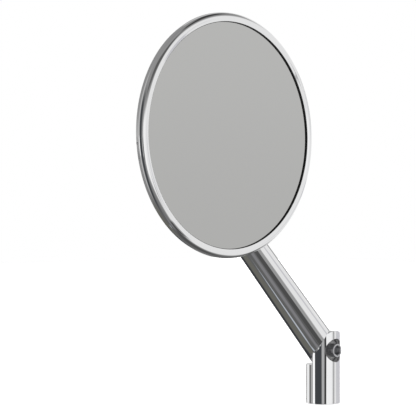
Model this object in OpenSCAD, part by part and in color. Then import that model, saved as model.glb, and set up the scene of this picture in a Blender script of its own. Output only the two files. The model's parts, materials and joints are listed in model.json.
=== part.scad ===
// Shaving mirror on a swinging arm: a round framed mirror, a tapered arm and a short post.
// Origin at the centre of the post's lower end, +Z up. The mirror faces -Y.

/* [Mirror head] */
// Outside radius of the front ring
ring_r = 100; // [95:1:110]
// Radius of the round bead that makes up the front ring
bead_r = 4.4; // [4.3:0.1:4.6]
// Radial width of the front ring's face
ring_face = 7.4; // [7.2:0.1:7.6]
// Slope of the ring's face from its crown in to its inner edge
face_slope = 14; // [11:1:17]
// Depth of the glass behind the ring's crown
glass_depth = 2.1; // [2:0.1:2.3]
// Thickness of the glass
glass_t = 3; // [2.8:0.1:3.1]
// Step in radius from the front ring down to the band behind it
band_step = 1; // [0.8:0.1:1.2]
// Width of the band round the rear pan
band_w = 2.4; // [2.4:0.1:2.8]
// Angle of the first grub screw in the band, from the right side
grub_angle = 185.3; // [0:0.1:360]
// Number of grub screws round the band
grub_count = 3; // [2:1:6]

/* [Arm] */
// Distance along the arm from the pivot to the mirror's axis
arm_len = 269.5; // [240:0.5:320]
// Lean of the arm from upright
arm_lean = 45; // [20:1:50]
// Radius of the arm at the pivot
arm_pivot_r = 15.4; // [15.3:0.1:15.6]
// Radius of the arm where it crosses the mirror's axis
arm_tip_r = 11; // [10.9:0.1:12]
// Wall thickness of the hollow part of the arm
arm_wall = 2.2; // [2:0.1:2.4]
// Distance from the arm's axis forward to the front ring's crown
head_off = 67.5; // [63:0.1:81]

/* [Post and pivot] */
// Radius of the post
post_r = 15.85; // [15.8:0.05:17]
// Height of the pivot above the post's lower end
pivot_h = 49.3; // [47:0.1:60]
// Radius of the post's rounded cheek about the pivot
cheek_r = 18.1; // [17.8:0.1:18.4]
// Radius of the arm's rounded lug about the pivot
lug_r = 13; // [12.5:0.1:13]
// Radius of the counterbore for the pivot screw
cbore_r = 10.8; // [10:0.1:11.5]
// Distance from the post's axis forward to the counterbore's floor
cbore_floor = 8; // [7:0.1:10.3]
// Distance from the post's axis forward to the pivot screw's end
screw_end = 17.6; // [17.2:0.1:18]

/* [Support bore] */
// Radius of the bore that takes the support's spigot
spigot_r = 10; // [9:0.5:11]
// Depth of the support bore
spigot_depth = 26; // [22:1:28]

/* [Hidden] */
$fn = 96;
// fits between a shaft and its hole, and between parts that only lie beside each other
run_gap = 0.05;
side_gap = 0.4;
// M8 pivot screw
m8_r = 4;
screw_head_r = 6.2;
screw_head_h = 8;
socket_af = 8;
socket_depth = 4.5;
// friction disc between the cheek and the lug
disc_r = 11;
disc_t = 1.5;
cheek_back = 0.5;
lug_bore_r = 6;
nut_seat = 10;
nut_pocket_r = 8;
nut_circum_r = 7.5;
nut_h = 5;
// arm
arm_taper = (arm_pivot_r - arm_tip_r) / arm_len;
arm_end = arm_len + 13;
bore_from = 30;
core_from = arm_len - 14;
core_to = arm_len + 9.5;
cap_round = 2;
scoop_r = cheek_r + 1.1;
ledge_z = pivot_h - lug_r - side_gap;
reach = arm_len * sin(arm_lean);
rise = arm_len * cos(arm_lean);
// stem through the arm's tip, measured forward from the arm's axis
stem_r = 5;
stem_bush_r = 7;
collar_r = 8.5;
collar_from = 7;
collar_to = 12.5;
seat_back = 5.5;
seat_back_r = 8;
spring_t = 1.2;
m6_r = 3;
m6_head_r = 5;
m6_head_h = 5;
// tilt hinge
tilt_f = 28;
tongue_t = 8;
tongue_r = 8;
tilt_pin_r = 3;
tilt_washer_t = 0.5;
cheek_t = 4.5;
fork_r = 9;
fork_half = tongue_t / 2 + tilt_washer_t + cheek_t;
// head, measured backward from the ring's crown
ring_side = bead_r + 1;
groove = 0.4;
skirt_r = ring_r - 2;
sight_r = ring_r - ring_face;
face_from = ring_r - bead_r - bead_r * sin(face_slope);
face_depth = bead_r - bead_r * cos(face_slope);
edge_depth = face_depth + (face_from - sight_r) * tan(face_slope);
seal_w = 0.4;
seal_from = edge_depth + 0.3;
pocket_r = ring_r - 4;
glass_back = glass_depth + glass_t;
band_r = ring_r - band_step;
band_from = ring_side + groove;
band_to = band_from + band_w;
band_round = 0.4;
web_from = band_to - 0.6;
skirt_to = web_from - 0.1;
seat_from = glass_back + 0.9;
seat_in_r = pocket_r - 3.4;
seat_out_r = pocket_r - 0.2;
dish_r = pocket_r - 2;
dish_round = 2;
pan_back = band_to + 2.8;
pan_floor = pan_back - 1.4;
pad_r = dish_r - 2 * dish_round - 0.3;
grub_r = 1;
grub_depth = band_from + 1.1;
plate_r = 24;
plate_t = 3;
plate_screw_r = 17;
m4_r = 2;
m4_head_r = 3.5;
m4_head_h = 1.4;
// post
post_bush_r = spigot_r + 1.5;
post_screw_z = 12;
m5_r = 2.5;
m5_socket_af = 2.5;
far = 60;

// Radius of the arm's cone at distance s from the pivot
function arm_r(s) = arm_pivot_r - arm_taper * s;

// Places: local +Z points forward, to -Y, on the pivot, the stem and the head
module on_pivot() { translate([0, 0, pivot_h]) rotate([90, 0, 0]) children(); }
module on_stem() { translate([-reach, 0, pivot_h + rise]) rotate([90, 0, 0]) children(); }
module on_head() { on_stem() translate([0, 0, head_off]) children(); }
// Local +Z runs up the arm
module on_arm() { translate([0, 0, pivot_h]) rotate([0, -arm_lean, 0]) children(); }
// Local +Z runs along the tilt hinge, to +X
module on_tilt() { on_stem() translate([0, 0, tilt_f]) rotate([0, 90, 0]) children(); }

module tube(r_out, r_in, from, to) {
    translate([0, 0, from]) difference() {
        cylinder(r = r_out, h = to - from);
        translate([0, 0, -1]) cylinder(r = r_in, h = to - from + 2);
    }
}

// A rod of radius r between two heights
module rod(r, from, to) { translate([0, 0, from]) cylinder(r = r, h = to - from); }

// A hexagon of the given width across flats
module hex(af, from, to) { translate([0, 0, from]) cylinder(r = af / 2 / cos(30), h = to - from, $fn = 6); }

// ---- post ----

module post() {
    color("gainsboro") difference() {
        cylinder(r = post_r, h = pivot_h + cheek_r);
        // the back half makes room for the arm's lug
        translate([-far / 2, -cheek_back, ledge_z]) cube([far, far, far]);
        // the cheek is round about the pivot
        difference() {
            translate([-far / 2, -far / 2, pivot_h]) cube([far, far, far]);
            on_pivot() cylinder(r = cheek_r, h = 2 * far, center = true);
        }
        on_pivot() rod(cbore_r, cbore_floor, far);
        on_pivot() rod(lug_bore_r, -far, far);
        rod(post_bush_r, -1, spigot_depth);
        translate([0, 0, post_screw_z]) for (side = [-1, 1])
            rotate([-90, 0, side * 30]) rod(m5_r + run_gap, 0, far);
    }
}

module post_bush() {
    color("dimgray") difference() {
        tube(post_bush_r, spigot_r, 0, spigot_depth);
        translate([0, 0, post_screw_z]) for (side = [-1, 1])
            rotate([-90, 0, side * 30]) rod(m5_r + run_gap, 0, far);
    }
}

module post_grub_screws() {
    color("darkgray") translate([0, 0, post_screw_z]) for (side = [-1, 1])
        rotate([-90, 0, side * 30]) difference() {
            rod(m5_r, spigot_r + 0.3, post_r - 0.5);
            hex(m5_socket_af, post_r - 3, post_r);
        }
}

// ---- pivot ----

module pivot_bush() {
    color("goldenrod") on_pivot() tube(lug_bore_r, m8_r + run_gap, cheek_back, cbore_floor);
}

module friction_disc() {
    color("black") on_pivot() tube(disc_r, m8_r + run_gap, cheek_back - disc_t, cheek_back);
}

module pivot_washer() {
    color("black") on_pivot() tube(cbore_r - side_gap, m8_r + run_gap, cbore_floor, screw_end - screw_head_h);
}

module pivot_screw() {
    color("gray") on_pivot() difference() {
        union() {
            rod(m8_r, -nut_seat - nut_h - 0.5, screw_end - screw_head_h);
            rod(screw_head_r, screw_end - screw_head_h, screw_end);
        }
        hex(socket_af, screw_end - socket_depth, far);
    }
}

module pivot_insert() {
    color("goldenrod") on_pivot() tube(lug_bore_r, m8_r, -nut_seat, cheek_back - disc_t);
}

module pivot_nut() {
    color("silver") on_pivot() difference() {
        hex(2 * nut_circum_r * cos(30), -nut_seat - nut_h, -nut_seat);
        rod(m8_r, -far, 0);
    }
}

// ---- arm ----

module arm() {
    color("gainsboro") difference() {
        on_arm() difference() {
            translate([0, 0, -lug_r])
                cylinder(r1 = arm_r(-lug_r), r2 = arm_r(arm_end), h = arm_end + lug_r);
            // the front half clears the post's cheek
            rotate([90, 0, 0]) cylinder(r = scoop_r, h = far);
            // the lug below the pivot is round about it
            difference() {
                translate([-far / 2, -far / 2, -far]) cube([far, far, far]);
                rotate([90, 0, 0]) cylinder(r = lug_r, h = far, center = true);
            }
            translate([0, 0, bore_from])
                cylinder(r1 = arm_r(bore_from) - arm_wall, r2 = arm_r(arm_end) - arm_wall,
                         h = arm_end - bore_from + 0.01);
        }
        on_pivot() rod(lug_bore_r, -far, far);
        on_pivot() rod(disc_r + run_gap, cheek_back - disc_t, far / 2);
        on_pivot() rod(nut_pocket_r, -far, -nut_seat);
        stem_cuts();
    }
}

// The cross bore, the front seat and the back seat in the arm's tip
module stem_cuts() {
    on_stem() rod(stem_bush_r, -far, far);
    on_stem() rod(collar_r + 0.2, collar_from, far);
    on_stem() rod(seat_back_r, -far, -seat_back);
}

module arm_core() {
    color("darkgray") difference() {
        on_arm() translate([0, 0, core_from])
            cylinder(r1 = arm_r(core_from) - arm_wall - run_gap, r2 = arm_r(core_to) - arm_wall - run_gap,
                     h = core_to - core_from);
        stem_cuts();
    }
}

module arm_end_cap() {
    cap_r = arm_r(arm_end);
    color("gainsboro") on_arm() {
        rod(cap_r - arm_wall - run_gap, core_to, arm_end);
        translate([0, 0, arm_end]) rotate_extrude() intersection() {
            union() {
                square([cap_r - cap_round, cap_round]);
                translate([cap_r - cap_round, 0]) circle(r = cap_round);
            }
            square([cap_r, cap_round]);
        }
    }
}

module stem_bush() {
    color("goldenrod") on_stem() tube(stem_bush_r, stem_r + run_gap, -seat_back, collar_from);
}

module stem_collar() {
    color("gainsboro") on_stem() tube(collar_r, stem_r + run_gap, collar_from, collar_to);
}

// ---- stem: turns in the arm's tip ----

module stem() {
    color("gainsboro") difference() {
        union() {
            on_stem() rod(stem_r, 0.5 - seat_back, collar_to);
            on_stem() rod(collar_r, collar_to, tilt_f - fork_r - 1);
            on_stem() translate([-tongue_t / 2, -tongue_r, collar_to])
                cube([tongue_t, 2 * tongue_r, tilt_f - collar_to]);
            on_tilt() rod(tongue_r, -tongue_t / 2, tongue_t / 2);
        }
        on_stem() rod(m6_r, -far, 8);
        on_tilt() rod(tilt_pin_r + run_gap, -far, far);
    }
}

module stem_bolt() {
    head_at = -seat_back - spring_t;
    color("gray") on_stem() difference() {
        union() {
            rod(m6_r, head_at, 6);
            rod(m6_head_r, head_at - m6_head_h, head_at);
        }
        hex(5, head_at - m6_head_h - 1, head_at - 2);
    }
}

module stem_spring_washer() {
    color("silver") on_stem() tube(stem_bush_r - 0.2, m6_r + run_gap, -seat_back - spring_t, -seat_back);
}

// ---- tilt hinge and bracket ----

module head_bracket() {
    plate_f = head_off - pan_back - plate_t;
    color("silver") difference() {
        union() {
            on_stem() rod(plate_r, plate_f, plate_f + plate_t);
            for (side = [-1, 1]) {
                x_in = side > 0 ? fork_half - cheek_t : -fork_half;
                on_stem() translate([x_in, -fork_r, tilt_f])
                    cube([cheek_t, 2 * fork_r, plate_f - tilt_f + 1]);
                on_tilt() rod(fork_r, x_in, x_in + cheek_t);
            }
        }
        on_tilt() rod(tilt_pin_r, -far, far);
        bracket_screw_places() rod(m4_r, -far, far);
    }
}

module bracket_screw_places() {
    for (turn = [45 : 90 : 315])
        on_head() rotate([0, 0, turn]) translate([plate_screw_r, 0, 0]) children();
}

module bracket_screws() {
    color("gray") bracket_screw_places() {
        rod(m4_r, -pan_back - plate_t, -pan_floor);
        rod(m4_head_r, -pan_floor, m4_head_h - pan_floor);
    }
}

module tilt_pin() {
    color("gray") on_tilt() difference() {
        union() {
            rod(tilt_pin_r, -fork_half, fork_half + 4);
            rod(tilt_pin_r + 2, -fork_half - 3, -fork_half);
        }
        hex(3, -far, -fork_half - 1);
    }
}

module tilt_nut() {
    color("silver") on_tilt() difference() {
        hex(9, fork_half, fork_half + 4);
        rod(tilt_pin_r, 0, far);
    }
}

module tilt_washers() {
    color("white") on_tilt() {
        tube(tongue_r - 0.5, tilt_pin_r + run_gap, tongue_t / 2, tongue_t / 2 + tilt_washer_t);
        tube(tongue_r - 0.5, tilt_pin_r + run_gap, -tongue_t / 2 - tilt_washer_t, -tongue_t / 2);
    }
}

// ---- head ----

module rear_pan() {
    color("gainsboro") difference() {
        on_head() rotate_extrude($fn = 180) {
            // band round the ring's skirt, with a rounded rear edge
            translate([skirt_r + run_gap, band_round - band_to])
                square([band_r - skirt_r - run_gap, band_w - band_round]);
            translate([band_r - band_round, band_round - band_to]) circle(r = band_round);
            // web behind the skirt and seat for the gasket
            translate([seat_in_r, -band_to]) square([band_r - band_round - seat_in_r, band_to - web_from]);
            translate([seat_in_r, -band_to]) square([seat_out_r - seat_in_r, band_to - seat_from]);
            // dished back with a rounded edge
            translate([seat_in_r, dish_round - pan_back])
                square([dish_r - seat_in_r, pan_back - dish_round - seat_from]);
            translate([dish_r - dish_round, dish_round - pan_back]) circle(r = dish_round);
            translate([0, -pan_back]) square([dish_r - dish_round, pan_back - pan_floor]);
        }
        bracket_screw_places() rod(m4_r, -far, far);
        grub_places() rod(grub_r + run_gap, 0, far);
    }
}

// Local +Z runs outward along each grub screw
module grub_places() {
    for (i = [0 : grub_count - 1])
        on_head() translate([0, 0, -grub_depth])
            rotate([0, 0, grub_angle + i * 360 / grub_count]) rotate([0, 90, 0])
                translate([0, 0, pocket_r]) children();
}

module ring_grub_screws() {
    color("dimgray") grub_places() difference() {
        rod(grub_r, 0.3, band_r - pocket_r - 0.2);
        hex(0.9, band_r - pocket_r - 1.2, far);
    }
}

module front_ring() {
    color("gainsboro") difference() {
        on_head() rotate_extrude($fn = 180) difference() {
            union() {
                translate([ring_r - bead_r, -bead_r]) circle(r = bead_r);
                translate([pocket_r, -ring_side]) square([ring_r - pocket_r, ring_side - bead_r]);
                translate([pocket_r, -skirt_to]) square([skirt_r - pocket_r, skirt_to - bead_r]);
                // sloping face in to the edge over the glass
                polygon([[face_from, -face_depth], [sight_r, -edge_depth], [sight_r, -glass_depth],
                         [face_from, -glass_depth]]);
            }
            // opening over the glass, and the pocket that takes it
            translate([0, -far]) square([sight_r, 2 * far]);
            translate([0, -far]) square([pocket_r, far - glass_depth]);
            // the bead's rear half beyond the skirt, and all that lies behind the skirt
            translate([skirt_r, -far]) square([far, far - ring_side]);
            translate([0, -far]) square([ring_r, far - skirt_to]);
        }
        grub_places() rod(grub_r + run_gap, -1, far);
    }
}

module mirror_glass() {
    color("lightsteelblue") on_head() translate([0, 0, -glass_back])
        cylinder(r = seat_out_r, h = glass_t, $fn = 180);
}

module backing_pad() {
    color("dimgray") difference() {
        on_head() rod(pad_r, -pan_floor, -glass_back);
        bracket_screw_places() rod(m4_head_r + 0.3, -far, m4_head_h + 0.2 - pan_floor);
    }
}

module glass_seal() {
    color("black") on_head() tube(sight_r, sight_r - seal_w, -glass_depth, -seal_from);
}

module glass_gasket() {
    color("black") on_head() tube(pocket_r - 0.3, seat_in_r + 0.1, -seat_from, -glass_back);
}

post();
post_bush();
post_grub_screws();
pivot_bush();
friction_disc();
arm();
pivot_screw();
pivot_washer();
pivot_insert();
pivot_nut();
arm_core();
arm_end_cap();
stem_bush();
stem_collar();
stem();
stem_bolt();
stem_spring_washer();
head_bracket();
bracket_screws();
tilt_pin();
tilt_nut();
tilt_washers();
rear_pan();
front_ring();
mirror_glass();
backing_pad();
glass_seal();
glass_gasket();
ring_grub_screws();
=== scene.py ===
"""Looks of the swinging shaving mirror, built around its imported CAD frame.

Units are metres, the CAD's own frame: the post stands on z = 0 and the mirror faces -Y.
"""
import json
import math

import bmesh
import bpy
from mathutils import Matrix, Vector


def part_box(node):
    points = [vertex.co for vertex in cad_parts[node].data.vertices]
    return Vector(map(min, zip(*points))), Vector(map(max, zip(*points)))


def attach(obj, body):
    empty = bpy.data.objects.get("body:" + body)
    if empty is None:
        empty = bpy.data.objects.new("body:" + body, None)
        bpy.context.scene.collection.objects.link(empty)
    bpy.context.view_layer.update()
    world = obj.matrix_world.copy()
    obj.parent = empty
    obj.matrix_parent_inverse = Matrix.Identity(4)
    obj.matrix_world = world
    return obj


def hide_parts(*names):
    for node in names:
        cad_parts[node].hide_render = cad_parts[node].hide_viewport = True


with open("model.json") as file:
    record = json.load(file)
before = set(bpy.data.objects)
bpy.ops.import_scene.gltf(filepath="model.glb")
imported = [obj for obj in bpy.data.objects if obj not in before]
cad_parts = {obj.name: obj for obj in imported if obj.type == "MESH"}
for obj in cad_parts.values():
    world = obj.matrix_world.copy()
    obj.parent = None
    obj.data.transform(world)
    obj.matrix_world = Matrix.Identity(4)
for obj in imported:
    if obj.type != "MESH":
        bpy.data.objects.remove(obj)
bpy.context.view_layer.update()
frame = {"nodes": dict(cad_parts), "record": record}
nodes = frame["nodes"]
scene = bpy.context.scene
MM = 0.001

# ---- camera: level, turned 45 degrees to the mirror ----

CAMERA_AT = Vector((-1.0866, -0.9351, 0.1809))
CAMERA_YAW = math.radians(-45)
CAMERA_LENS = 132.83
SENSOR_WIDTH = 36
LEVEL = math.radians(90)

camera = bpy.data.objects.new("camera", bpy.data.cameras.new("camera"))
scene.collection.objects.link(camera)
camera.location = CAMERA_AT
camera.rotation_euler = (LEVEL, 0, CAMERA_YAW)
camera.data.lens = CAMERA_LENS
camera.data.sensor_width = SENSOR_WIDTH
scene.camera = camera
scene.view_settings.view_transform = "Standard"


# ---- places, from the joints of the frame ----

JOINTS = {joint["name"]: Vector(joint["pos_m"]) for joint in frame["record"]["behaviour"]["joints"]}
PIVOT, TIP, HINGE = JOINTS["arm_swing"], JOINTS["head_roll"], JOINTS["head_tilt"]
FORWARD = Matrix.Rotation(math.radians(90), 4, "X")        # local +Z to -Y
SIDEWAYS = Matrix.Rotation(math.radians(90), 4, "Y")       # local +Z to +X
ARM_LEAN = math.atan2(-(TIP - PIVOT).x, (TIP - PIVOT).z)


def place(origin, turn):
    """Millimetres in a local frame to metres in the part's frame."""
    return Matrix.Translation(origin) @ turn @ Matrix.Scale(MM, 4)


ON_PIVOT = place(PIVOT, FORWARD)
ON_TIP = place(TIP, FORWARD)
ON_HINGE = place(HINGE, SIDEWAYS)
ON_ARM = place(PIVOT, Matrix.Rotation(-ARM_LEAN, 4, "Y"))
CROWN_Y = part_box("front_ring")[0].y
ON_HEAD = place(Vector((TIP.x, CROWN_Y, TIP.z)), FORWARD)  # z = 0 at the ring's crown


def span(node, axis):
    """A node's lowest and highest value along one axis, in millimetres."""
    low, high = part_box(node)
    return low[axis] / MM, high[axis] / MM


def radius_of(node):
    """Half of a node's width along X, in millimetres."""
    low, high = span(node, 0)
    return (high - low) / 2


def behind_crown(node):
    """A head node's front and back, as heights from the ring's crown."""
    low, high = span(node, 1)
    return CROWN_Y / MM - low, CROWN_Y / MM - high


def along(node, place_of, axis):
    """A node's lower and upper end along a local +Z that points to -Y, or to +X for the hinge."""
    origin = place_of.translation[axis] / MM
    low, high = span(node, axis)
    return (origin - high, origin - low) if axis == 1 else (low - origin, high - origin)


# ---- shader helpers ----

class Tree:
    """A short way to write shader nodes."""

    def __init__(self, owner):
        owner.use_nodes = True
        self.tree = owner.node_tree
        self.tree.nodes.clear()

    def add(self, kind, settings=None, **inputs):
        node = self.tree.nodes.new("ShaderNode" + kind)
        for name, value in (settings or {}).items():
            setattr(node, name, value)
        for name, value in inputs.items():
            self.put(node, name.replace("_", " "), value)
        return node

    def put(self, node, socket, value):
        target = node.inputs[socket]
        if isinstance(value, bpy.types.NodeSocket):
            self.tree.links.new(value, target)
        else:
            target.default_value = value

    def math(self, operation, *values):
        node = self.add("Math", {"operation": operation})
        for i, value in enumerate(values):
            self.put(node, i, value)
        return node.outputs[0]

    def ramp(self, value, low, high, to_low=0.0, to_high=1.0):
        node = self.add("MapRange", {"interpolation_type": "SMOOTHSTEP"}, Value=value)
        for socket, number in zip(("From Min", "From Max", "To Min", "To Max"), (low, high, to_low, to_high)):
            self.put(node, socket, number)
        return node.outputs["Result"]

    def mix(self, amount, a, b):
        node = self.add("Mix", {"data_type": "RGBA"})
        self.put(node, 0, amount)
        self.put(node, 6, a)
        self.put(node, 7, b)
        return node.outputs[2]

    def finish(self, kind, shader):
        self.put(self.add(kind), "Surface", shader.outputs[0])


# ---- studio: a soft surround of cards and flags, by direction ----

CHROME_TINT = 0.86
GREY = (1, 1, 1)
COOL = (0.9, 0.97, 1.06)
LAVENDER = (0.99, 0.985, 1.03)
OLIVE = (1.03, 1.02, 0.9)
# name, azimuth from and to, elevation from and to, softness of the two azimuth edges and of the
# elevation edges, level, tint
CARDS = [
    ("left box", 136, 164, -44, 46, 16, 12, 22, 0.46, GREY),
    ("upper left box", -158, -134, 42, 58, 14, 14, 12, 0.24, GREY),
    ("front wall", -74, 24, -36, 31, 18, 6, 17, 0.755, GREY),
    ("front key", -114, -76, -21, 11, 8, 8, 12, 0.86, GREY),
    ("right key", -75, -63, -2, 9, 6, 6, 4, 0.84, GREY),
    ("upper front flag", -126, -70, 24, 52, 12, 16, 12, 0.10, GREY),
    ("right strip", 6, 24, -16, 36, 10, 6, 10, 0.84, GREY),
    ("right end", 24, 44, -8, 44, 4, 14, 12, 0.66, GREY),
    ("upper right strip", 24, 62, 34, 66, 10, 8, 10, 0.50, GREY),
    ("lower right flag", -16, 42, -62, -24, 14, 10, 12, 0.13, GREY),
    ("side gap", 170, -142, -60, 32, 14, 34, 22, 0.055, COOL),
    ("overhead flag", -68, 18, 48, 70, 20, 24, 12, 0.045, GREY),
    ("floor flag", -104, 2, -86, -52, 26, 20, 10, 0.075, GREY),
    ("floor back", 80, 128, -74, -40, 10, 12, 8, 0.125, OLIVE),
    ("floor strip", -126, -96, -70, -54, 12, 12, 8, 0.20, LAVENDER),
    ("back flag", 56, 84, -42, -14, 10, 10, 8, 0.04, COOL),
    ("floor gleam", 138, 174, -79.6, -76, 12, 8, 1.2, 0.50, COOL),
    ("low back card", 82, 112, -15, -1, 8, 8, 3, 0.84, GREY),
    ("low back flag", 120, 132, -15, -1, 8, 5, 3, 0.12, GREY),
    ("low left card", 132, 150, -15, -1, 5, 4, 3, 0.40, GREY),
    ("low left strip", 150, 164.5, -15, -1, 3, 4, 3, 1.02, GREY),
    ("low gap", 164.5, -148, -15, -1, 4, 10, 3, 0.055, COOL),
    ("low front card", -147, -131, -15, -1, 8, 6, 3, 0.40, GREY),
    ("low front flag", -130, -118, -15, -1, 6, 5, 3, 0.025, GREY),
    ("low key", -117, -76, -15, -1, 5, 4, 3, 0.86, GREY),
    ("low dip", -65, -58.5, -7.8, -4.2, 2, 5, 0.6, 0.12, GREY),
    ("low right card", -40, 20, -7.8, -4.2, 6, 6, 1, 0.56, LAVENDER),
]
# the same for cards that only the arm sees: they're kept to the directions it reflects
ARM_CARDS = [
    ("table flag", -94, -62, -50, -29, 8, 8, 4, 0.07, GREY),
    ("table edge", -88, -58, -29, -14, 8, 5, 4, 0.30, GREY),
    ("thin card", -37, -22, 3, 8, 5, 5, 3, 0.55, LAVENDER),
    ("end flag", 8, 30, 4, 14, 6, 6, 3, 0.30, GREY),
]
ARM_CONE = (118.8, 120.8, 128.6, 131)                      # angles from the arm's axis: soft in, soft out
# elevation and level of the surround behind the cards
SURROUND = [(-90, 0.10), (-62, 0.12), (-48, 0.16), (-30, 0.22), (-14, 0.27), (0, 0.42), (12, 0.28),
            (30, 0.25), (60, 0.27), (90, 0.23)]


def studio():
    world = bpy.data.worlds.new("studio")
    scene.world = world
    t = Tree(world)
    direction = t.add("TexCoord").outputs["Generated"]
    axes = t.add("SeparateXYZ", Vector=direction).outputs
    azimuth = t.math("DEGREES", t.math("ARCTAN2", axes["Y"], axes["X"]))
    elevation = t.math("DEGREES", t.math("ARCSINE", axes["Z"]))

    ramp = t.add("ValToRGB", Fac=t.math("ADD", t.math("DIVIDE", elevation, 180.0), 0.5))
    while len(ramp.color_ramp.elements) < len(SURROUND):
        ramp.color_ramp.elements.new(0.5)
    for element, (angle, level) in zip(ramp.color_ramp.elements, SURROUND):
        element.position = angle / 180 + 0.5
        element.color = (level, level, level, 1)
    colour = ramp.outputs["Color"]

    toward_arm = t.add("VectorMath", {"operation": "DOT_PRODUCT"})
    t.put(toward_arm, 0, direction)
    t.put(toward_arm, 1, (-math.sin(ARM_LEAN), 0, math.cos(ARM_LEAN)))
    from_arm = t.math("DEGREES", t.math("ARCCOSINE", toward_arm.outputs["Value"]))
    near_from, near_to, far_from, far_to = ARM_CONE
    cone = t.ramp(from_arm, near_from, near_to)
    cone = t.math("MULTIPLY", cone, t.ramp(from_arm, far_to, far_from))

    for card in CARDS + ARM_CARDS:
        name, az_from, az_to, el_from, el_to, soft_from, soft_to, soft_el, level, tint = card
        width = (az_to - az_from) % 360
        offset = t.math("WRAP", t.math("SUBTRACT", azimuth, az_from), width / 2 + 180.0, width / 2 - 180.0)
        mask = t.ramp(offset, -soft_from / 2, soft_from / 2)
        mask = t.math("MULTIPLY", mask, t.ramp(offset, width + soft_to / 2, width - soft_to / 2))
        mask = t.math("MULTIPLY", mask, t.ramp(elevation, el_from - soft_el / 2, el_from + soft_el / 2))
        mask = t.math("MULTIPLY", mask, t.ramp(elevation, el_to + soft_el / 2, el_to - soft_el / 2))
        if card in ARM_CARDS:
            mask = t.math("MULTIPLY", mask, cone)
        colour = t.mix(mask, colour, tuple(level * c for c in tint) + (1,))
        colour.node.label = name

    seen = t.add("LightPath").outputs["Is Camera Ray"]
    light = t.add("Background", Color=colour, Strength=1 / CHROME_TINT)
    backdrop = t.add("Background", Color=(1, 1, 1, 1), Strength=1.0)
    both = t.add("MixShader")
    t.put(both, 0, seen)
    t.put(both, 1, light.outputs[0])
    t.put(both, 2, backdrop.outputs[0])
    t.finish("OutputWorld", both)


studio()

FLOOR_SIZE = 6.0
FLOOR_GAIN = 5.0                                           # bright enough to stay white under the cards
FLOOR_DROP = 0.0004                                        # keeps the floor clear of the post's foot


def floor():
    mesh = bpy.data.meshes.new("floor")
    half = FLOOR_SIZE / 2
    corners = [(-half, -half, 0), (half, -half, 0), (half, half, 0), (-half, half, 0)]
    mesh.from_pydata(corners, [], [(0, 1, 2, 3)])
    obj = bpy.data.objects.new("floor", mesh)
    scene.collection.objects.link(obj)
    obj.location.z = -FLOOR_DROP
    obj.visible_glossy = False
    material = bpy.data.materials.new("pale_floor")
    t = Tree(material)
    t.finish("OutputMaterial", t.add("BsdfDiffuse", Color=(FLOOR_GAIN, FLOOR_GAIN, FLOOR_GAIN, 1)))
    mesh.materials.append(material)


floor()


# ---- materials ----

GRAIN_SHARE = 0.35                                         # of the roughness; the clouds give the rest


def metal(name, dark, light, rough_low, rough_high, cloud_scale, grain_scale, grain_depth, stretch):
    """Metal whose tone and roughness drift in soft clouds, over a fine grain in relief."""
    material = bpy.data.materials.new(name)
    t = Tree(material)
    where = t.add("TexCoord").outputs["Object"]
    cloud = t.add("TexNoise", Vector=where, Scale=cloud_scale, Detail=4.0, Roughness=0.55).outputs[0]
    drawn = t.add("Mapping", Vector=where, Scale=stretch).outputs[0]
    grain = t.add("TexNoise", Vector=drawn, Scale=grain_scale, Detail=3.0).outputs[0]
    both = t.math("MULTIPLY_ADD", grain, GRAIN_SHARE, t.math("MULTIPLY", cloud, 1 - GRAIN_SHARE))
    shader = t.add("BsdfPrincipled", Metallic=1.0)
    t.put(shader, "Base Color", t.mix(t.ramp(cloud, 0.3, 0.7), dark + (1,), light + (1,)))
    t.put(shader, "Roughness", t.ramp(both, 0.35, 0.65, rough_low, rough_high))
    relief = t.add("Bump", Strength=1.0, Distance=grain_depth, Height=grain)
    t.put(shader, "Normal", relief.outputs[0])
    t.finish("OutputMaterial", shader)
    return material


def moulded(name, dark, light, roughness, texture_scale, texture_depth):
    """Plastic, rubber or foam with a moulded texture, rougher in places, its tone drifting in clouds and its
    pits darkened with painted shade.
    """
    material = bpy.data.materials.new(name)
    t = Tree(material)
    where = t.add("TexCoord").outputs["Object"]
    cells = t.add("TexVoronoi", Vector=where, Scale=texture_scale).outputs["Distance"]
    cloud = t.add("TexNoise", Vector=where, Scale=texture_scale / 6, Detail=3.0).outputs[0]
    shader = t.add("BsdfPrincipled", Metallic=0.0)
    # painted shade: the colour darkens in the texture's pits, and its tone also drifts at random in clouds
    t.put(shader, "Base Color", t.mix(t.math("MULTIPLY", cells, cloud), dark + (1,), light + (1,)))
    t.put(shader, "Roughness", t.ramp(cloud, 0.3, 0.7, roughness - 0.06, roughness + 0.08))
    relief = t.add("Bump", Strength=1.0, Distance=texture_depth, Height=cells)
    t.put(shader, "Normal", relief.outputs[0])
    t.finish("OutputMaterial", shader)
    return material


# the glass's tone carries a painted reflection: darker low down, lighter higher up
MIRROR_SHEEN_LOW, MIRROR_SHEEN_HIGH = (0.479, 0.479, 0.469, 1), (0.521, 0.521, 0.511, 1)
MIRROR_SHEEN_HEIGHTS = (0.14, 0.34)                              # heights in metres where the painted reflection passes from the lower, darker tone to the upper, lighter one


def mirror(name):
    """Silvered glass: a grey reflection under a clear front face, with the faintest haze, and a painted
    reflection that lightens its tone towards the top.
    """
    material = bpy.data.materials.new(name)
    t = Tree(material)
    where = t.add("TexCoord").outputs["Object"]
    haze = t.add("TexNoise", Vector=where, Scale=14.0, Detail=5.0, Roughness=0.6).outputs[0]
    # painted reflection: the glass's colour lightens with height
    level = t.ramp(t.add("SeparateXYZ", Vector=where).outputs["Z"], *MIRROR_SHEEN_HEIGHTS)
    shader = t.add("BsdfPrincipled", Metallic=1.0)
    t.put(shader, "Coat Weight", 0.3)
    t.put(shader, "Coat Roughness", 0.01)
    t.put(shader, "Base Color", t.mix(level, MIRROR_SHEEN_LOW, MIRROR_SHEEN_HIGH))
    t.put(shader, "Roughness", t.ramp(haze, 0.3, 0.75, 0.008, 0.03))
    t.finish("OutputMaterial", shader)
    return material


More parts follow.
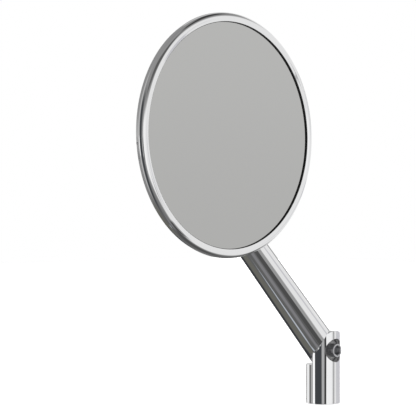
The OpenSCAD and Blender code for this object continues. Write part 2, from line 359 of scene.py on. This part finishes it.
# name, dark and light tone, lowest and highest roughness, scales of clouds and grain, depth of the
# grain in metres, and how far the grain is drawn out along each axis
METALS = [
    ("polished_chrome", (0.85, 0.852, 0.858), (0.872, 0.872, 0.874), 0.028, 0.05, 45, 900, 2e-7, (1, 1, 1)),
    ("stainless_steel", (0.5, 0.505, 0.52), (0.6, 0.6, 0.61), 0.28, 0.4, 60, 1500, 4e-6, (1, 1, 12)),
    ("blasted_steel", (0.62, 0.62, 0.63), (0.7, 0.7, 0.7), 0.62, 0.74, 80, 2200, 6e-6, (1, 1, 1)),
    ("spring_steel", (0.42, 0.42, 0.42), (0.55, 0.55, 0.54), 0.18, 0.3, 90, 1800, 4e-6, (1, 1, 1)),
    ("black_steel", (0.13, 0.13, 0.135), (0.19, 0.19, 0.195), 0.22, 0.36, 120, 2500, 5e-6, (1, 1, 1)),
    ("bearing_brass", (0.66, 0.5, 0.24), (0.78, 0.61, 0.32), 0.2, 0.33, 80, 1700, 4e-6, (1, 14, 1)),
    ("satin_aluminium", (0.52, 0.525, 0.535), (0.62, 0.622, 0.63), 0.28, 0.4, 50, 1400, 6e-6, (1, 10, 1)),
]
# name, dark and light tone, roughness, scale and depth of the texture
SOFTS = [
    ("nylon", (0.03, 0.03, 0.032), (0.06, 0.06, 0.063), 0.38, 1800, 1e-5),
    ("foam", (0.02, 0.02, 0.02), (0.07, 0.07, 0.07), 0.85, 900, 2e-4),
    ("gasket_rubber", (0.01, 0.01, 0.01), (0.03, 0.03, 0.03), 0.6, 1500, 3e-5),
]
FINISHES = {row[0]: metal(*row) for row in METALS}
FINISHES.update({row[0]: moulded(*row) for row in SOFTS})
FINISHES["silvered_glass"] = mirror("silvered_glass")
SLOT_OF = {part["node"]: part["material_slot"] for part in frame["record"]["subparts"]}
for name, obj in nodes.items():
    obj.data.materials.clear()
    obj.data.materials.append(FINISHES[SLOT_OF[name]])

# ---- turned pieces ----

SHARPEST = 0.03                                            # rounding of a corner that asks for none
ARC_STEP = 9                                               # degrees of an arc per point
ON_AXIS = 1e-6
SHARP_ANGLE = math.radians(32)                             # a steeper edge is shaded as an edge
HEAD_SEGMENTS = 288
SMALL_SEGMENTS = 96


def rounded(corners, closed):
    """Points (r, z) of an outline and their normals, each corner (r, z, rounding) cut by an arc.

    The solid lies to the left of the way round."""
    points = []
    count = len(corners)
    for i, (r, z, radius) in enumerate(corners):
        here = Vector((r, z))
        before, after = Vector(corners[i - 1][:2]), Vector(corners[(i + 1) % count][:2])
        if not closed and i in (0, count - 1):
            way = (after - here if i == 0 else here - before).normalized()
            points.append((here, Vector((way.y, -way.x))))
            continue
        way_in, way_out = (here - before).normalized(), (after - here).normalized()
        start = Vector((way_in.y, -way_in.x))
        turn = math.atan2(way_in.x * way_out.y - way_in.y * way_out.x, way_in.dot(way_out))
        side = math.copysign(max(radius, SHARPEST), turn)
        centre = here - way_in * abs(side) * math.tan(abs(turn) / 2) - start * side
        steps = max(2, math.ceil(abs(math.degrees(turn)) / ARC_STEP))
        for k in range(steps + 1):
            normal = start.copy()
            normal.rotate(Matrix.Rotation(turn * k / steps, 2))
            points.append((centre + normal * side, normal))
    return points


def turned(corners, where, closed=True, segments=SMALL_SEGMENTS):
    """A lathe-turned mesh with exact normals from its outline."""
    points = rounded(corners, closed)
    turn = where.to_3x3().normalized()
    vertices, normals, rings = [], [], []
    for at, normal in points:
        count = 1 if at.x < ON_AXIS else segments
        rings.append([len(vertices) + k % count for k in range(segments)])
        for k in range(count):
            around = Matrix.Rotation(2 * math.pi * k / segments, 3, "Z")
            vertices.append(where @ (around @ Vector((at.x, 0, at.y))))
            normals.append(turn @ (around @ Vector((normal.x, 0, normal.y))))
    faces = []
    for j in range(len(points) if closed else len(points) - 1):
        low, high = rings[j], rings[(j + 1) % len(points)]
        for k in range(segments):
            m = (k + 1) % segments
            faces.append(list(dict.fromkeys((low[k], low[m], high[m], high[k]))))
    mesh = bpy.data.meshes.new("turned")
    mesh.from_pydata(vertices, [], faces)
    mesh.polygons.foreach_set("use_smooth", [True] * len(faces))
    mesh.normals_split_custom_set_from_vertices(normals)
    return mesh


def skin(bm, low, high):
    """Faces between two loops of the same count."""
    for k in range(len(low)):
        m = (k + 1) % len(low)
        bm.faces.new((low[k], low[m], high[m], high[k]))


def shaped(rings, where, segments=144, tube=False):
    """A mesh through rings given as (radius by angle, z), closed at both ends or, for a tube, on itself."""
    bm = bmesh.new()
    loops = []
    for radius, z in rings:
        loop = []
        for k in range(segments):
            angle = 2 * math.pi * k / segments
            r = radius(angle)
            loop.append(bm.verts.new(where @ Vector((r * math.cos(angle), r * math.sin(angle), z))))
        loops.append(loop)
    for low, high in zip(loops, loops[1:]):
        skin(bm, low, high)
    if tube:
        skin(bm, loops[-1], loops[0])
    else:
        bm.faces.new(list(reversed(loops[0])))
        bm.faces.new(loops[-1])
    return from_bmesh(bm)


def from_bmesh(bm):
    mesh = bpy.data.meshes.new("shaped")
    bmesh.ops.recalc_face_normals(bm, faces=bm.faces)
    for face in bm.faces:
        face.smooth = True
    for edge in bm.edges:
        edge.smooth = len(edge.link_faces) == 2 and edge.calc_face_angle() < SHARP_ANGLE
    bm.to_mesh(mesh)
    bm.free()
    return mesh


def merged(meshes):
    """One mesh of several, each kept as its own shell."""
    bm = bmesh.new()
    for mesh in meshes:
        bm.from_mesh(mesh)
    result = bpy.data.meshes.new("merged")
    bm.to_mesh(result)
    bm.free()
    return result


def piece(name, mesh, node, body, finish=None):
    """Puts a mesh in the scene in place of a CAD node."""
    mesh.name = name
    obj = bpy.data.objects.new(name, mesh)
    scene.collection.objects.link(obj)
    mesh.materials.append(FINISHES[finish or SLOT_OF[node]])
    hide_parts(node)
    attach(obj, body)


def circle(radius):
    return lambda angle: radius


def hexagon(across, limit=None):
    """Radius of a hexagon by angle, cut back to a circle where a limit is given."""
    def radius(angle):
        r = across / 2 / math.cos((angle + math.pi / 6) % (math.pi / 3) - math.pi / 6)
        return r if limit is None else min(r, limit)
    return radius


def knurl(radius, depth, ribs):
    return lambda angle: radius - depth * (0.5 + 0.5 * math.cos(ribs * angle)) ** 2


# ---- mirror head ----

RING_R = radius_of("front_ring")
BAND_R = radius_of("rear_pan")
GLASS_R = radius_of("mirror_glass")
GLASS_FRONT, GLASS_BACK = behind_crown("mirror_glass")
PAN_FRONT, PAN_BACK = behind_crown("rear_pan")
BEAD_R = 4.4
FACE_W = 7.4
FACE_SLOPE = math.radians(14)
SIGHT_R = RING_R - FACE_W


def front_ring():
    """One arc runs from the ring's side over the crown, to where the sloping face leaves it."""
    back = behind_crown("front_ring")[1]
    side, pocket, skirt = -BEAD_R - 1, GLASS_R + 0.2, RING_R - 2
    face_from = RING_R - BEAD_R - BEAD_R * math.sin(FACE_SLOPE)
    edge = -BEAD_R + BEAD_R * math.cos(FACE_SLOPE) - (face_from - SIGHT_R) * math.tan(FACE_SLOPE)
    meet_z = edge + (RING_R - SIGHT_R) * math.tan(FACE_SLOPE)
    outline = [
        (pocket, back, 0.1), (skirt, back, 0.2), (skirt, side, 0.15), (RING_R, side, 0.25),
        (RING_R, meet_z, BEAD_R), (SIGHT_R, edge, 0.12), (SIGHT_R, GLASS_FRONT, 0.05),
        (pocket, GLASS_FRONT, 0.1),
    ]
    piece("bead_ring", turned(outline, ON_HEAD, segments=HEAD_SEGMENTS), "front_ring", "head")


def glass_seal():
    """A black seal with a rounded lip, lining the ring's edge down to the glass."""
    front = behind_crown("glass_seal")[0]
    lip = SIGHT_R - 0.4
    outline = [(SIGHT_R, GLASS_FRONT, 0.02), (SIGHT_R, front, 0.02), (lip, front, 0.18),
               (lip, GLASS_FRONT, 0.02)]
    piece("seal_lip", turned(outline, ON_HEAD, segments=HEAD_SEGMENTS), "glass_seal", "head")


def rear_pan():
    skirt, dish, ledge = RING_R - 1.95, GLASS_R - 1.8, GLASS_R - 3.2
    web, seat, floor_z = PAN_FRONT - 2.4, GLASS_BACK - 0.9, PAN_BACK + 1.4
    web_top = web + 0.6
    outline = [
        (0, PAN_BACK, 0), (dish, PAN_BACK, 2), (dish, web, 0.5), (BAND_R, web, 0.5),
        (BAND_R, PAN_FRONT, 0.25), (skirt, PAN_FRONT, 0.2), (skirt, web_top, 0.1), (GLASS_R, web_top, 0.1),
        (GLASS_R, seat, 0.1), (ledge, seat, 0.2), (ledge, floor_z, 0.6), (0, floor_z, 0),
    ]
    mesh = turned(outline, ON_HEAD, closed=False, segments=HEAD_SEGMENTS)
    piece("dished_pan", mesh, "rear_pan", "head")


def mirror_glass():
    outline = [(0, GLASS_BACK, 0), (GLASS_R, GLASS_BACK, 0.4), (GLASS_R, GLASS_FRONT, 0.6),
               (0, GLASS_FRONT, 0)]
    mesh = turned(outline, ON_HEAD, closed=False, segments=HEAD_SEGMENTS)
    piece("mirror_disc", mesh, "mirror_glass", "head")


def ring_grub_screws():
    first, count = 185.3, 3
    middle = sum(behind_crown("ring_grub_screws")) / 2
    top = BAND_R + 0.12
    rings = [(circle(1.0), top - 2.4), (circle(1.0), top - 0.12), (circle(0.86), top),
             (hexagon(0.95), top), (hexagon(0.9), top - 0.7)]
    screws = []
    for k in range(count):
        turn = math.radians(first) + k * math.radians(360 / count)
        at = ON_HEAD @ Matrix.Translation((0, 0, middle)) @ Matrix.Rotation(turn, 4, "Z") @ SIDEWAYS
        screws.append(shaped(rings, at, segments=48))
    piece("ring_grubs", merged(screws), "ring_grub_screws", "head")


# ---- pivot ----

def pivot_screw():
    tail, end = along("pivot_screw", ON_PIVOT, 1)
    head_r, shank_r, head_h, socket_af, socket_depth = radius_of("pivot_screw"), 4, 8, 8, 4.5
    seat = end - head_h
    barrel = knurl(head_r, 0.3, 12)
    rings = [
        (circle(shank_r - 0.6), tail), (circle(shank_r), tail + 0.6), (circle(shank_r), seat),
        (circle(head_r - 0.9), seat), (circle(head_r - 0.55), seat + 0.5), (barrel, seat + 0.9),
        (barrel, end - 1.5), (circle(head_r - 0.4), end - 1.3), (circle(head_r - 0.05), end - 1.1),
        (circle(head_r), end - 0.8), (circle(head_r), end - 0.45), (circle(head_r - 0.13), end - 0.13),
        (circle(head_r - 0.45), end), (circle(5.0), end), (circle(4.75), end - 0.12),
        (hexagon(socket_af, 4.6), end - 0.55), (hexagon(socket_af), end - 0.8),
        (hexagon(socket_af), end - socket_depth),
    ]
    piece("socket_screw", shaped(rings, ON_PIVOT, segments=288), "pivot_screw", "arm")


def pivot_washer():
    back, front = along("pivot_washer", ON_PIVOT, 1)
    r, bore, brim = radius_of("pivot_washer"), 4.05, 0.7
    outline = [
        (bore, back, 0.1), (r, back, 0.2), (r, back + brim, 0.2), (r - 1.5, back + brim, 0.3),
        (r - 1.9, front, 0.35), (bore, front, 0.2),
    ]
    piece("cup_washer", turned(outline, ON_PIVOT, segments=144), "pivot_washer", "arm", "blasted_steel")


def friction_disc():
    """Its faces stand a hair off the cheek and the lug, which turn on it."""
    back, front = along("friction_disc", ON_PIVOT, 1)
    bore, r = 4.08, 10.95
    back, front = back + 0.02, front - 0.03
    outline = [(bore, back, 0.1), (r, back, 0.2), (r, front, 0.2), (bore, front, 0.1)]
    piece("pivot_disc", turned(outline, ON_PIVOT), "friction_disc", "arm")


def pivot_nut():
    back, front = along("pivot_nut", ON_PIVOT, 1)
    bore, across, chamfer = 4.02, 15 * math.cos(math.pi / 6), 0.45
    crown = across / 2 * 1.06
    rings = [
        (circle(bore), front), (hexagon(across, crown), front), (hexagon(across), front - chamfer),
        (hexagon(across), back + chamfer), (hexagon(across, crown), back), (circle(4.5), back),
        (circle(bore), back + 0.4),
    ]
    piece("hex_nut", shaped(rings, ON_PIVOT, tube=True), "pivot_nut", "arm")


# ---- hardware of the arm's tip and the tilt hinge ----

def stem_collar():
    back, front = along("stem_collar", ON_TIP, 1)
    r, bore = radius_of("stem_collar"), 5.06
    outline = [(bore, back, 0.1), (r, back, 0.1), (r, front, 0.6), (bore, front, 0.1)]
    piece("tip_collar", turned(outline, ON_TIP), "stem_collar", "arm")


def arm_end_cap():
    plug_from, end, top = 279.1, 282.5, 284.45             # from the pivot, along the arm
    r, plug_r = 10.77, 8.55
    outline = [(0, plug_from, 0), (plug_r, plug_from, 0.2), (plug_r, end, 0.1), (r, end, 0.1), (r, top, 1.6),
               (0, top, 0)]
    piece("tip_cap", turned(outline, ON_ARM, closed=False), "arm_end_cap", "arm")


def stem_bolt():
    """A socket head screw: knurled head, rounded rim, hexagon socket at the back."""
    back, front = along("stem_bolt", ON_TIP, 1)
    head_r, shank_r, head_h, socket_af, socket_depth = radius_of("stem_bolt"), 3, 5, 5, 3
    seat = back + head_h
    ribs = knurl(head_r, 0.14, 30)
    rings = [
        (hexagon(socket_af), back + socket_depth), (hexagon(socket_af), back + 0.25),
        (circle(socket_af / 2 + 0.5), back), (circle(head_r - 0.6), back),
        (circle(head_r - 0.25), back + 0.12), (circle(head_r - 0.16), back + 0.5), (ribs, back + 0.8),
        (ribs, seat - 0.5), (circle(head_r - 0.3), seat), (circle(shank_r), seat),
        (circle(shank_r), front - 0.5), (circle(shank_r - 0.45), front),
    ]
    piece("tip_bolt", shaped(rings, ON_TIP, segments=240), "stem_bolt", "stem")


def tilt_nut():
    low, high = along("tilt_nut", ON_HINGE, 0)
    bore, across, chamfer = 3.02, 9, 0.3
    crown = across / 2 * 1.06
    rings = [
        (circle(bore), low), (hexagon(across, crown), low), (hexagon(across), low + chamfer),
        (hexagon(across), high - chamfer), (hexagon(across, crown), high), (circle(3.35), high),
        (circle(bore), high - chamfer),
    ]
    piece("hinge_nut", shaped(rings, ON_HINGE, tube=True), "tilt_nut", "head")


def tilt_pin():
    low, high = along("tilt_pin", ON_HINGE, 0)
    shank_r, head_r, socket_af = 2.98, 4.98, 3
    seat = low + 3
    rings = [
        (hexagon(socket_af), low + 1.9), (hexagon(socket_af), low + 0.2), (circle(2.0), low),
        (circle(4.4), low), (circle(4.8), low + 0.15), (circle(head_r), low + 0.6),
        (circle(head_r), seat - 0.3), (circle(4.7), seat), (circle(shank_r), seat),
        (circle(shank_r), high - 0.4), (circle(2.6), high),
    ]
    piece("hinge_pin", shaped(rings, ON_HINGE), "tilt_pin", "head")


def tilt_washers():
    """Their faces stand a hair off the tongue, which turns between them."""
    low, high = along("tilt_washers", ON_HINGE, 0)
    bore, r, thickness, hair = 3.08, 7.48, 0.5, 0.02
    washers = []
    for start in (low, high - thickness):
        under, over = start + hair, start + thickness - hair
        outline = [(bore, under, 0.08), (r, under, 0.12), (r, over, 0.12), (bore, over, 0.08)]
        washers.append(turned(outline, ON_HINGE))
    piece("hinge_washers", merged(washers), "tilt_washers", "head")


def spring_washer():
    """A split spring washer, cut at an angle, its ends a little apart."""
    back, front = along("stem_spring_washer", ON_TIP, 1)
    inner, outer, gap, slant, steps = 3.06, 6.78, math.radians(9), 0.12, 90
    section = ((inner, back + 0.04), (inner + 0.15, back), (outer - 0.15, back), (outer, back + 0.12),
               (outer, front - 0.12), (outer - 0.15, front), (inner + 0.15, front), (inner, front - 0.04))
    bm = bmesh.new()
    loops = []
    for k in range(steps + 1):
        angle = gap / 2 + (2 * math.pi - gap) * k / steps
        loop = []
        for r, z in section:
            twist = angle + slant * (z - back)
            loop.append(bm.verts.new(ON_TIP @ Vector((r * math.cos(twist), r * math.sin(twist), z))))
        loops.append(loop)
    for here, there in zip(loops, loops[1:]):
        skin(bm, here, there)
    bm.faces.new(loops[0])
    bm.faces.new(list(reversed(loops[-1])))
    piece("split_washer", from_bmesh(bm), "stem_spring_washer", "stem")


def bracket_screws():
    back, front = along("bracket_screws", ON_TIP, 1)
    from_axis, shank_r, head_r, socket_af = 17, 1.98, 3.48, 2.5
    seat = front - 1.4
    rings = [
        (circle(1.6), back), (circle(shank_r), back + 0.35), (circle(shank_r), seat), (circle(head_r), seat),
        (circle(head_r), front - 0.3), (circle(3.2), front), (hexagon(socket_af), front),
        (hexagon(socket_af), front - 1.0),
    ]
    screws = []
    for k in range(4):
        turn = Matrix.Rotation(math.radians(45 + 90 * k), 4, "Z")
        screws.append(shaped(rings, ON_TIP @ turn @ Matrix.Translation((from_axis, 0, 0)), segments=72))
    piece("plate_screws", merged(screws), "bracket_screws", "head")


def post_grub_screws():
    height, spread, screw_r, socket_af = 12, 30, 2.48, 2.5
    post_r = 15.85
    inner, outer = 10.3, post_r - 0.5                      # from the post's axis
    rings = [
        (circle(1.4), inner), (circle(screw_r), inner + 1), (circle(screw_r), outer - 0.3),
        (circle(2.2), outer), (hexagon(socket_af), outer), (hexagon(socket_af), outer - 2.4),
    ]
    outward = Matrix.Rotation(math.radians(-90), 4, "X")
    screws = []
    for side in (-1, 1):
        at = Matrix.Scale(MM, 4) @ Matrix.Translation((0, 0, height))
        at = at @ Matrix.Rotation(math.radians(side * spread), 4, "Z") @ outward
        screws.append(shaped(rings, at, segments=SMALL_SEGMENTS))
    piece("set_screws", merged(screws), "post_grub_screws", "post")


for build in (front_ring, glass_seal, rear_pan, mirror_glass, ring_grub_screws, pivot_screw, pivot_washer,
              friction_disc, stem_collar, arm_end_cap, stem_bolt, pivot_nut, tilt_nut, tilt_pin, tilt_washers,
              spring_washer, bracket_screws, post_grub_screws):
    build()
